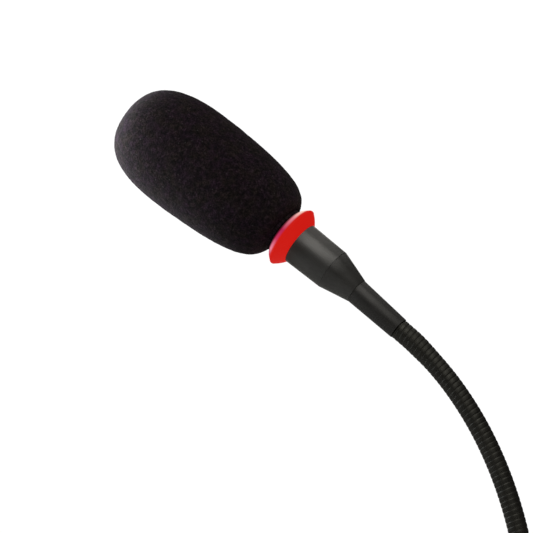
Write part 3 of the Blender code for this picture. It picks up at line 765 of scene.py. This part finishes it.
def light_ring():
    """The lens of the light: two slightly full cones that meet in a round crest, hollow for the lamps."""
    steps = 8
    profile = []
    inward, forward = RING_FRONT_LIMIT
    for i in range(steps + 1):
        t = i / steps
        fullness = FRONT_FULLNESS * math.sin(math.pi * t)
        profile.append((
            RING_FRONT_RADIUS + (RING_RADIUS - inward - RING_FRONT_RADIUS) * t + fullness,
            RING_LENGTH + (RING_CREST + forward - RING_LENGTH) * t + fullness,
        ))
    for i in range(1, steps):
        turn = math.radians(47 - 95 * i / steps)
        radius = RING_RADIUS - RING_CREST_ROUND + RING_CREST_ROUND * math.cos(turn)
        profile.append((radius, RING_CREST + RING_CREST_ROUND * math.sin(turn)))
    inward, backward = RING_REAR_LIMIT
    for i in range(steps + 1):
        t = 1.0 - i / steps
        fullness = REAR_FULLNESS * math.sin(math.pi * t)
        profile.append((
            RING_REAR_RADIUS + (RING_RADIUS - inward - RING_REAR_RADIUS) * t + fullness,
            RING_FOOT + (RING_CREST - backward - RING_FOOT) * t - fullness * 0.6,
        ))
    channel_rear, channel_front = CHANNEL_ENDS
    profile += [
        (RING_BORE, RING_FOOT), (RING_BORE, channel_rear), (CHANNEL_RADIUS, channel_rear),
        (CHANNEL_RADIUS, channel_front), (RING_BORE, channel_front), (RING_BORE, RING_LENGTH),
    ]
    ring = turned("ring_lens", profile, RING, RED_LENS, soften=0.3 * MM, count=144, sharp=60.0)
    settle(ring, "head", "red_lens", "light_ring")


BASKET_REAR = RING_REAR + RING_LENGTH + GAP
BASKET_FRONT = 51.4 * MM
BASKET_RADIUS = 8.7 * MM
BASKET_WALL = 0.6 * MM
BASKET_ROUND = 2.0 * MM
BASKET_CORNER = 7.0 * MM  # inside radius of the basket's flat end
SLOT_SIZE = (3.0 * MM, 24.0 * MM, 14.0 * MM)
SLOT_HEIGHT = 38.0 * MM
PORT_RADIUS = 3.2 * MM


def grille():
    """The slotted cup over the capsule."""
    dome = []
    for i in range(9):
        a = math.radians(90) * i / 8
        dome.append((BASKET_RADIUS - BASKET_ROUND + BASKET_ROUND * math.sin(a),
                     BASKET_FRONT - BASKET_ROUND + BASKET_ROUND * math.cos(a)))
    bore = BASKET_RADIUS - BASKET_WALL
    inside = BASKET_FRONT - BASKET_WALL
    inner = [(bore, BASKET_REAR), (bore, BASKET_FRONT - BASKET_ROUND)]
    inner += [(BASKET_CORNER, inside), (PORT_RADIUS, inside)]
    outline = [(PORT_RADIUS, BASKET_FRONT), *dome, (BASKET_RADIUS, BASKET_REAR), *inner]
    cup = turned("grille_cup", outline, HEAD, GRILLE, soften=0.1 * MM)
    tools = []
    for number in range(3):
        turn = Matrix.Rotation(math.radians(60) * number, 4, "Z")
        tools.append(box_tool(SLOT_SIZE, HEAD @ up(SLOT_HEIGHT) @ turn))
    carve(cup, *tools)
    settle(cup, "head", "black_steel", "grille_basket")


# ---- Windscreen ----

FOAM_RADIUS = 23.4 * MM
FOAM_FRONT = 35.9 * MM  # from the widest section to the tip
FOAM_FRONT_POWERS = (3.1, 2.6)
FOAM_REAR = 42.7 * MM  # from the widest section to the rear face
FOAM_REAR_POWERS = (6.75, 1.86)
FOAM_REAR_SLOPE = 6.0 * MM  # how far the rear face would slope by the widest section
FOAM_MIDDLE = FOAM_REAR + FOAM_REAR_SLOPE
FOAM_SKEW = 0.07  # how much the rear face leans out of square
FOAM_BORE = 9.1 * MM
FOAM_BORE_END = 53.5 * MM - FOAM_SEAT
FOAM_LIP = 10.2 * MM  # the rear face stops at this radius, where the bore's mouth begins
FOAM_MOUTH = ((1.1, 1.1), (0.95, 0.4), (0.8, -0.1), (0.3, -0.2), (0.0, 0.1), (0.0, 2.0))  # mm out, mm up
FOAM_BORE_RINGS = (0.15, 0.3, 0.45, 0.6, 0.75, 0.96)  # shares of the bore's depth
FOAM_STEP = 0.5 * MM  # between the rings of the mesh
FOAM_SIDES = 300


def superellipse(part, powers):
    """The height of a superellipse of height 1 at a share of its half width."""
    side, crown = powers
    return (1.0 - part ** side) ** (1 / crown)


def foam_side(rows):
    """The windscreen's outer profile, from its tip to its rear face."""
    side = []
    for i in range(rows):
        part = math.sin(math.radians(90) * i / rows)
        side.append((FOAM_RADIUS * part, FOAM_MIDDLE + FOAM_FRONT * superellipse(part, FOAM_FRONT_POWERS)))
    for i in range(rows + 1):
        part = math.cos(math.radians(90) * i / rows)
        height = FOAM_REAR * (1.0 - superellipse(part, FOAM_REAR_POWERS))
        side.append((FOAM_RADIUS * part, height + FOAM_REAR_SLOPE * part ** 2))
    return side


def evenly(profile, step):
    """A profile's points spaced evenly along it."""
    points = [Vector(p) for p in profile]
    lengths = np.cumsum([0.0] + [(b - a).length for a, b in zip(points, points[1:])])
    count = round(lengths[-1] / step)
    spots = np.linspace(0.0, lengths[-1], count + 1)
    radii = np.interp(spots, lengths, [p.x for p in points])
    heights = np.interp(spots, lengths, [p.y for p in points])
    return list(zip(radii, heights))


def foam_circle(radius, height):
    """A ring of points round the windscreen's axis, leaning a little towards its rear face."""
    lean = FOAM_SKEW * max(0.0, 1.0 - height / FOAM_MIDDLE)
    points = []
    for i in range(FOAM_SIDES):
        turn = 2 * math.pi * i / FOAM_SIDES
        x = radius * math.cos(turn)
        points.append(FOAM @ Vector((x, radius * math.sin(turn), height - lean * x)))
    return points


def windscreen():
    """The foam ball: a crowned open-cell form with a blind bore, its surface broken into small cells."""
    side = [(r, z) for r, z in evenly(foam_side(200), FOAM_STEP) if r > 0.3 * MM]
    rows = [foam_circle(r, z) for r, z in side if z > FOAM_MIDDLE / 2 or r > FOAM_LIP]
    bore = [(FOAM_BORE + out * MM, height * MM) for out, height in FOAM_MOUTH]
    bore += [(FOAM_BORE, FOAM_BORE_END * share) for share in FOAM_BORE_RINGS]
    bore += [(FOAM_BORE - 0.5 * MM, FOAM_BORE_END), (0.5 * MM, FOAM_BORE_END)]
    seat = HEAD @ up(FOAM_SEAT)
    rows += [circle(seat, r, z, FOAM_SIDES) for r, z in bore]
    foam = piece("foam_windscreen", rows, FOAM_BLACK, sharp=180.0, caps=True)
    roughen(foam)
    settle(foam, "windscreen", "foam", "windscreen")


# Noise on the foam's surface: waves to the metre and height
FOAM_NOISES = ((38.0, 0.25 * MM), (240.0, 0.08 * MM), (900.0, 0.1 * MM))


def roughen(made):
    """Give a foam piece its slightly uneven form and its broken, pitted surface."""
    mesh = made.data
    normals = [v.normal.copy() for v in mesh.vertices]
    for vertex, normal in zip(mesh.vertices, normals):
        spot = vertex.co
        height = sum(noise.noise(spot * scale) * depth for scale, depth in FOAM_NOISES)
        vertex.co = spot + normal * height


# ---- Carried-over CAD nodes ----

def finish_nodes():
    """Materials for the CAD nodes that stay."""
    finishes = {
        "pin_insert": BLACK_PLASTIC, "insert_screw": STEEL, "neck_screw": STEEL,
        "plug_board": GREEN_BOARD, "led_board": GREEN_BOARD, "preamp_board": GREEN_BOARD,
        "board_chip": BLACK_PLASTIC, "preamp_transistor": BLACK_PLASTIC,
        "board_capacitor_1": CAN, "board_capacitor_2": CAN, "capsule": CAN,
        "mesh_cup": FINE_MESH, "capsule_mount": RUBBER, "acoustic_felt": FELT,
        "capsule_lead_1": RUBBER, "capsule_lead_2": RUBBER,
        **{f"led_{number}": RED_LAMP for number in range(1, 7)},
    }
    for name, material in finishes.items():
        node = frame["nodes"][name]
        node.data.materials.clear()
        node.data.materials.append(material)


# ---- Stage, lights and camera ----

CAMERA_AZIMUTH = math.radians(12.0)
CAMERA_ELEVATION = math.radians(-8.0)
CAMERA_DISTANCE = 1.0
CAMERA_LENS = 164.2
SENSOR_WIDTH = 36.0
FAR_CLIP = 50.0
NECK_TOP_RIGHT = 54.3 * MM  # where the neck's top sits in the view, from its centre
NECK_TOP_DOWN = 25.5 * MM
LIGHT_COLOUR = (1.0, 0.97, 0.91)
TIP_LIGHT_COLOUR = (0.92, 0.97, 1.0)
FOOT_SPREAD = math.radians(50)  # of the two small lights at the plug
WHITE = (1.0, 1.0, 1.0, 1.0)
SURROUND_LIGHT = 0.06
SURROUND_SEEN = 1.05  # what the camera sees of the surroundings, a little over white
FLOOR_HALF = 6.0
# How much of the surroundings the camera sees through the floor, by metres from the plug
FLOOR_CLEARNESS = [(0.05, 0.5), (0.3, 0.72), (0.9, 1.0)]


def camera_axes():
    """The view's right, up and towards-the-camera directions."""
    az, el = CAMERA_AZIMUTH, CAMERA_ELEVATION
    back = Vector((math.sin(az) * math.cos(el), -math.cos(az) * math.cos(el), math.sin(el)))
    right = Vector((math.cos(az), math.sin(az), 0.0))
    return right, back.cross(right), back


def camera():
    """The camera, in front and a little below the head, looking slightly up without roll."""
    right, upward, back = camera_axes()
    target = NECK_TOP - right * NECK_TOP_RIGHT + upward * NECK_TOP_DOWN
    data = bpy.data.cameras.new("camera")
    data.lens = CAMERA_LENS
    data.sensor_width = SENSOR_WIDTH
    data.clip_end = FAR_CLIP
    made = bpy.data.objects.new("camera", data)
    bpy.context.scene.collection.objects.link(made)
    made.location = target + back * CAMERA_DISTANCE
    made.rotation_mode = "QUATERNION"
    made.rotation_quaternion = (-back).to_track_quat("-Z", "Y")
    bpy.context.scene.camera = made


def softbox(name, toward, across, distance, size, power, target=HEAD.translation, colour=LIGHT_COLOUR):
    """A soft rectangular light seen from a target in one direction, with one side along another.

    size is the light's length along across and its other side. The camera doesn't see it.
    """
    data = bpy.data.lights.new(name, "AREA")
    data.shape = "RECTANGLE"
    data.size, data.size_y = size
    data.energy = power
    data.color = colour
    made = bpy.data.objects.new(name, data)
    bpy.context.scene.collection.objects.link(made)
    back = toward.normalized()
    side = (across - back * across.dot(back)).normalized()
    turn = Matrix((side, back.cross(side), back)).transposed()
    made.matrix_world = Matrix.Translation(target + back * distance) @ turn.to_4x4()
    made.visible_camera = False
    return made


def lights():
    """A broad key light, weaker ones round the head, one close to the foam's tip and two at the plug."""
    right, upward, back = camera_axes()
    axis = direction(HEAD_LEAN)
    over = back.cross(axis).normalized()
    if over.z < 0.0:
        over.negate()

    def around(degrees, forward):
        """The direction at an angle round the head, from the camera's side over its top."""
        turn = math.radians(degrees)
        return back * math.cos(turn) + over * math.sin(turn) + axis * forward

    softbox("key", around(40, 0.42), axis, distance=1.0, size=(0.4, 1.05), power=5.2)
    softbox("rim", around(103, 0.2), axis, distance=1.0, size=(0.5, 0.6), power=0.85)
    softbox("fill", around(-55, 0.3), axis, distance=1.0, size=(0.3, 0.3), power=0.5)
    softbox("side", -right - upward * 0.35, upward, distance=1.0, size=(0.3, 0.3), power=0.35)
    tip = -right + upward * 0.25 - back * 0.23
    middle = (FOAM @ up(FOAM_MIDDLE)).translation
    softbox("tip", tip, upward, distance=0.15, size=(0.14, 0.14), power=0.95, target=middle,
            colour=TIP_LIGHT_COLOUR)
    softbox("behind", -back, upward, distance=1.2, size=(0.8, 0.8), power=2.0)
    softbox("behind_top", around(150, 0.2), axis, distance=1.2, size=(0.6, 0.6), power=0.8)
    foot = {"distance": 0.6, "size": (0.2, 0.3), "power": 0.1, "target": PLUG.translation}
    low = softbox("foot", back + right * 0.7 + upward * 0.3, upward, **foot)
    low_back = softbox("foot_back", -back - right * 0.5 + upward * 0.3, upward, **foot)
    for light in (low, low_back):
        light.data.spread = FOOT_SPREAD


def surroundings():
    """A white world that the camera sees, but that lights the object only a little."""
    world = bpy.data.worlds.new("studio")
    bpy.context.scene.world = world
    world.use_nodes = True
    tree = world.node_tree
    weak = tree.nodes["Background"]
    weak.inputs["Color"].default_value = WHITE
    weak.inputs["Strength"].default_value = SURROUND_LIGHT
    seen = tree.nodes.new("ShaderNodeBackground")
    seen.inputs["Color"].default_value = WHITE
    seen.inputs["Strength"].default_value = SURROUND_SEEN
    path = tree.nodes.new("ShaderNodeLightPath")
    either = tree.nodes.new("ShaderNodeMixShader")
    tree.links.new(path.outputs["Is Camera Ray"], either.inputs["Fac"])
    tree.links.new(weak.outputs["Background"], either.inputs[1])
    tree.links.new(seen.outputs["Background"], either.inputs[2])
    tree.links.new(either.outputs["Shader"], tree.nodes["World Output"].inputs["Surface"])


def floor():
    """A plain pale floor under the plug that fades into the white surroundings, pale from every side.

    The camera sees it part clear, so that it never hides a head that a pose swings below it.
    """
    mesh = bpy.data.meshes.new("floor")
    corners = [(x * FLOOR_HALF, y * FLOOR_HALF, 0) for x, y in ((-1, -1), (1, -1), (1, 1), (-1, 1))]
    mesh.from_pydata(corners, [], [(0, 1, 2, 3)])
    n = Nodes("pale_floor")
    n.colour(n.ramp(n.noise(3.0, 2.0), [(0.3, 0.8), (0.7, 0.84)]))
    n.set(Roughness=0.7)
    clear = n.add("ShaderNodeBsdfTransparent")
    reach = n.add("ShaderNodeVectorMath", operation="LENGTH")
    n.join(n.place, reach.inputs[0])
    clearness = n.ramp(reach.outputs["Value"], FLOOR_CLEARNESS)
    surface = n.seen_by_camera(clearness, n.shader.outputs[0], clear.outputs[0])
    n.join(surface, n.tree.nodes["Material Output"].inputs[0])
    mesh.materials.append(n.material)
    made = bpy.data.objects.new("floor", mesh)
    made.location = (0.0, 0.0, BARREL_END)
    bpy.context.scene.collection.objects.link(made)


bpy.context.scene.view_settings.view_transform = "Standard"
camera()
gooseneck()
plug()
contact_pins()
upper_sleeve()
tail_cone()
head_housing()
light_ring()
grille()
windscreen()
finish_nodes()
lights()
surroundings()
floor()
